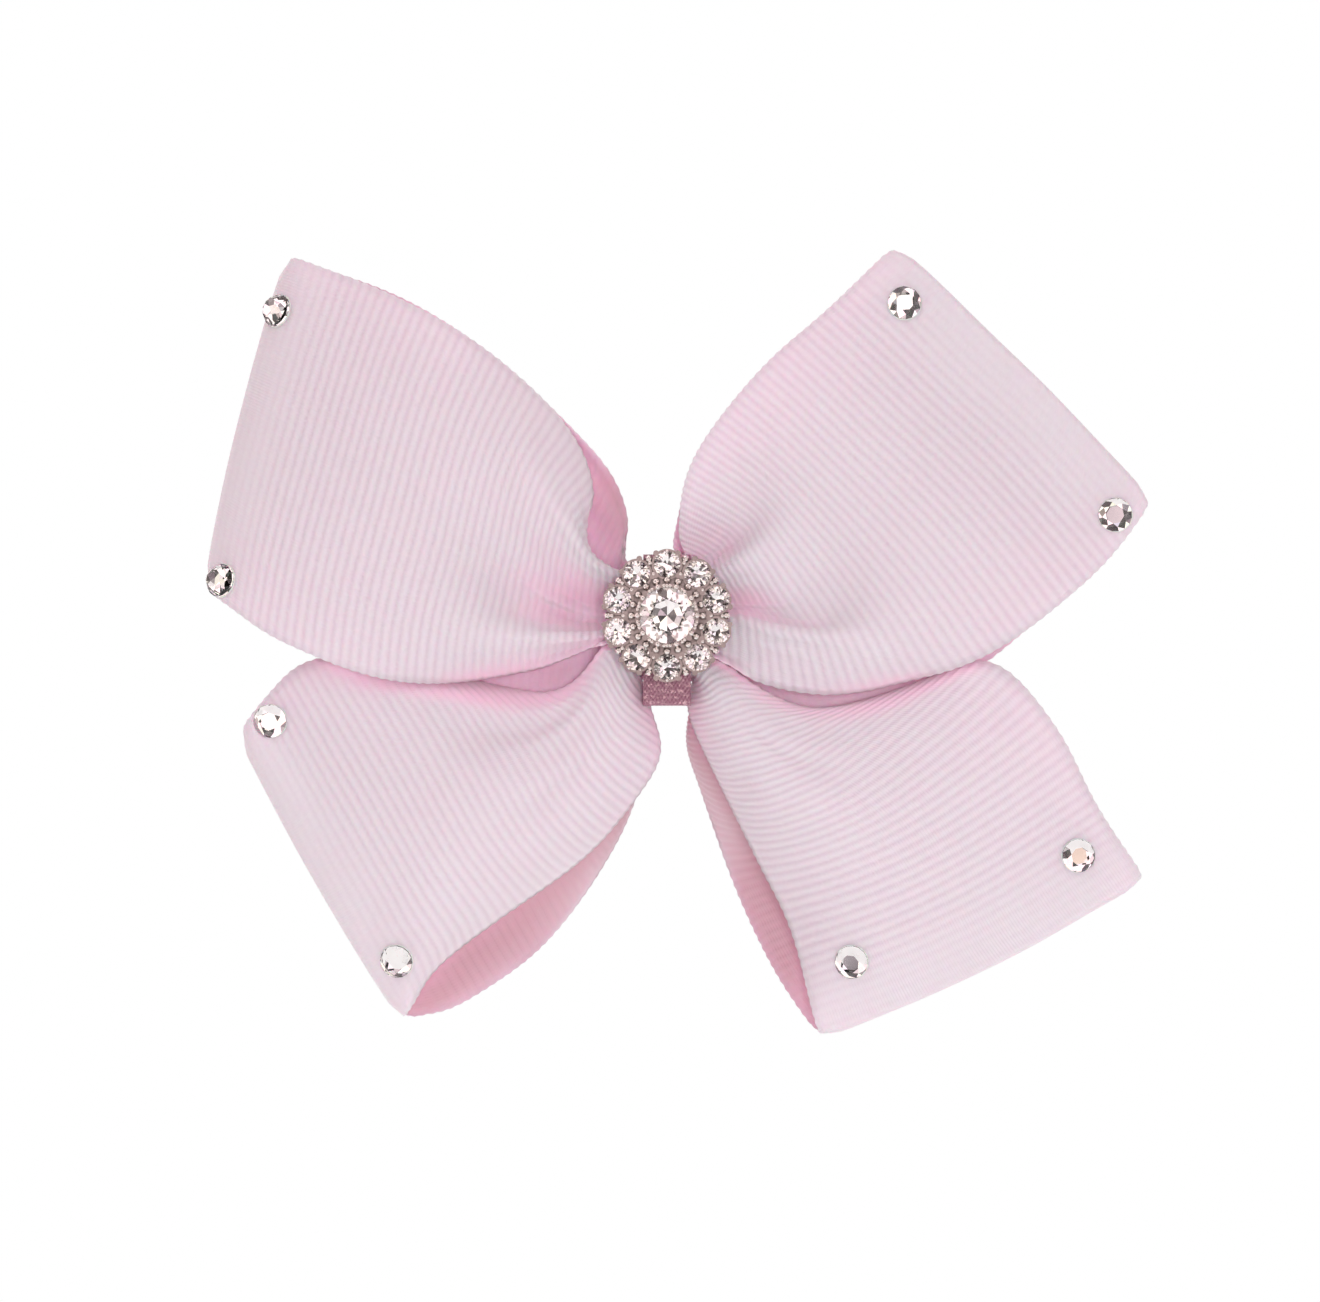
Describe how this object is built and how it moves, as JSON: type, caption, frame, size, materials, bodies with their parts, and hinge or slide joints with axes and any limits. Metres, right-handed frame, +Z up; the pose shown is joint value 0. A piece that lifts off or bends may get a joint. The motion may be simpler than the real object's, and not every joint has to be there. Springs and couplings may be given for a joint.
{
  "type": "hair bow",
  "caption": "Pinwheel hair bow of pleated grosgrain loops with a faceted stone cluster, mounted on a sprung alligator clip.",
  "frame": {"origin": "middle of the clip's jaw, where the hair is held", "axes": "+Z up as worn, -Y out of the face of the bow, +X to the right as seen from the front"},
  "size_m": [0.1, 0.0264, 0.084],
  "materials": {
    "ribbon": "matt ribbed grosgrain, pale pink",
    "thread": "matt polyester thread",
    "glitter_wrap": "woven metallic glitter, mauve",
    "liner": "matt ribbed grosgrain, pale pink",
    "silver_plate": "bright silver plate",
    "crystal": "clear cut glass, foil backed",
    "glue": "set clear glue",
    "clip_steel": "bright nickel plate",
    "spring_steel": "drawn spring wire"
  },
  "bodies": {
    "bow": {"front_ribbon": "ribbon", "rear_ribbon": "ribbon", "cinch_thread": "thread", "centre_wrap": "glitter_wrap", "cluster_glue": "glue", "cluster_base": "silver_plate", "centre_crystal": "crystal", "corner_glue": "glue", "clip_glue": "glue", "clip_base_arm": "clip_steel", "clip_liner": "liner", "clip_pivot_pin": "clip_steel", "clip_spring": "spring_steel", "ring_crystal_01": "crystal", "ring_crystal_02": "crystal", "ring_crystal_03": "crystal", "ring_crystal_04": "crystal", "ring_crystal_05": "crystal", "ring_crystal_06": "crystal", "ring_crystal_07": "crystal", "ring_crystal_08": "crystal", "ring_crystal_09": "crystal", "ring_crystal_10": "crystal", "corner_crystal_1": "crystal", "corner_crystal_2": "crystal", "corner_crystal_3": "crystal", "corner_crystal_4": "crystal", "corner_crystal_5": "crystal", "corner_crystal_6": "crystal", "corner_crystal_7": "crystal", "corner_crystal_8": "crystal"},
    "jaw": {"clip_jaw_arm": "clip_steel"}
  },
  "joints": [
    {"name": "jaw_hinge", "type": "hinge", "parent": "bow", "child": "jaw", "pos_m": [0.009, 0.0005, 0], "axis": [0, 0, -1], "range_deg": [0, 30], "stiffness_Nm_per_rad": 0.05, "springref_deg": -34.38, "deforming": ["clip_spring"]}
  ]
}
